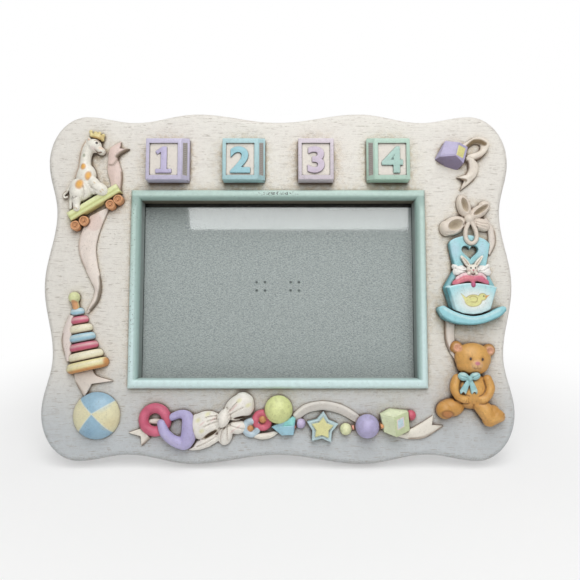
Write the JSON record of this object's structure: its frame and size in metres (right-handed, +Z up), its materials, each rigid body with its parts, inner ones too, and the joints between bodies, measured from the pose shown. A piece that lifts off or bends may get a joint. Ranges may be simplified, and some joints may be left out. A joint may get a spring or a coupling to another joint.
{
  "type": "photo frame",
  "caption": "Landscape nursery picture frame with a wavy cast outline, toy reliefs round a recessed window, glass, a turn-button back panel and a hinged easel leg.",
  "frame": {"origin": "middle of the footprint, on the surface the frame stands on", "axes": "+X to the right as seen from the front, +Y backwards, +Z up; the frame leans back 15 degrees"},
  "size_m": [0.2494, 0.0652, 0.1838],
  "materials": {
    "antiqued_cream": "satin",
    "aqua_moulding": "satin",
    "clear_glass": "polished",
    "grey_linen": "matte",
    "zinc_plate": "satin",
    "dark_hardboard": "matte",
    "lilac": "satin",
    "powder_blue": "satin",
    "rose_pink": "satin",
    "pale_pink": "satin",
    "pale_green": "satin",
    "yellow_green": "satin",
    "butter_yellow": "satin",
    "apricot": "satin",
    "ribbon_cream": "satin",
    "warm_white": "satin",
    "honey_brown": "satin",
    "cradle_blue": "satin"
  },
  "bodies": {
    "frame": {"frame_body": "antiqued_cream", "window_moulding": "aqua_moulding", "glass_pane": "clear_glass", "back_panel": "grey_linen", "button_screw_1": "zinc_plate", "button_screw_2": "zinc_plate", "hinge_fixed_leaf": "zinc_plate", "hinge_pin": "zinc_plate", "toy_block_1": "lilac", "toy_block_2": "powder_blue", "toy_block_3": "pale_pink", "toy_block_4": "pale_green", "giraffe": "warm_white", "giraffe_tuft": "butter_yellow", "pull_cart": "yellow_green", "ribbon_giraffe": "ribbon_cream", "ribbon_streamer": "ribbon_cream", "ribbon_stacker": "ribbon_cream", "ribbon_tail": "ribbon_cream", "stack_post": "yellow_green", "stack_ring_1": "powder_blue", "stack_ring_2": "rose_pink", "stack_ring_3": "butter_yellow", "stack_ring_4": "powder_blue", "stack_ring_5": "rose_pink", "stack_ring_6": "butter_yellow", "stack_base": "apricot", "beach_ball": "powder_blue", "rattle_block": "lilac", "rattle_ribbon": "ribbon_cream", "cradle_bow": "ribbon_cream", "cradle_headboard": "cradle_blue", "cradle_shell": "cradle_blue", "cradle_rockers": "cradle_blue", "cradle_blanket": "rose_pink", "cradle_sheet": "warm_white", "rabbit": "warm_white", "ribbon_cradle": "ribbon_cream", "ribbon_bear": "ribbon_cream", "bear": "honey_brown", "bear_bow": "powder_blue", "ribbon_rings": "ribbon_cream", "red_ring": "rose_pink", "lilac_link": "lilac", "big_bow": "warm_white", "blue_teether": "powder_blue", "pink_ring": "rose_pink", "green_ball": "yellow_green", "aqua_brick": "powder_blue", "star": "powder_blue", "bead_garland": "ribbon_cream", "lilac_bead": "lilac", "yellow_bead": "butter_yellow", "lilac_ball": "lilac", "green_cube": "pale_green", "ribbon_cube": "ribbon_cream"},
    "leg": {"easel_leg": "dark_hardboard", "hinge_leg_leaf": "zinc_plate"},
    "left_button": {"turn_button_1": "zinc_plate"},
    "right_button": {"turn_button_2": "zinc_plate"}
  },
  "joints": [
    {"name": "easel_leg_fold", "type": "hinge", "parent": "frame", "child": "leg", "pos_m": [0, 0.00859, 0.08327], "axis": [-1, 0, 0], "range_deg": [0, 25]},
    {"name": "left_button_turn", "type": "hinge", "parent": "frame", "child": "left_button", "pos_m": [-0.0835, 0.00776, 0.08867], "axis": [0, -0.9659, 0.2588], "continuous": true},
    {"name": "right_button_turn", "type": "hinge", "parent": "frame", "child": "right_button", "pos_m": [0.0835, 0.00776, 0.08867], "axis": [0, -0.9659, 0.2588], "continuous": true}
  ]
}
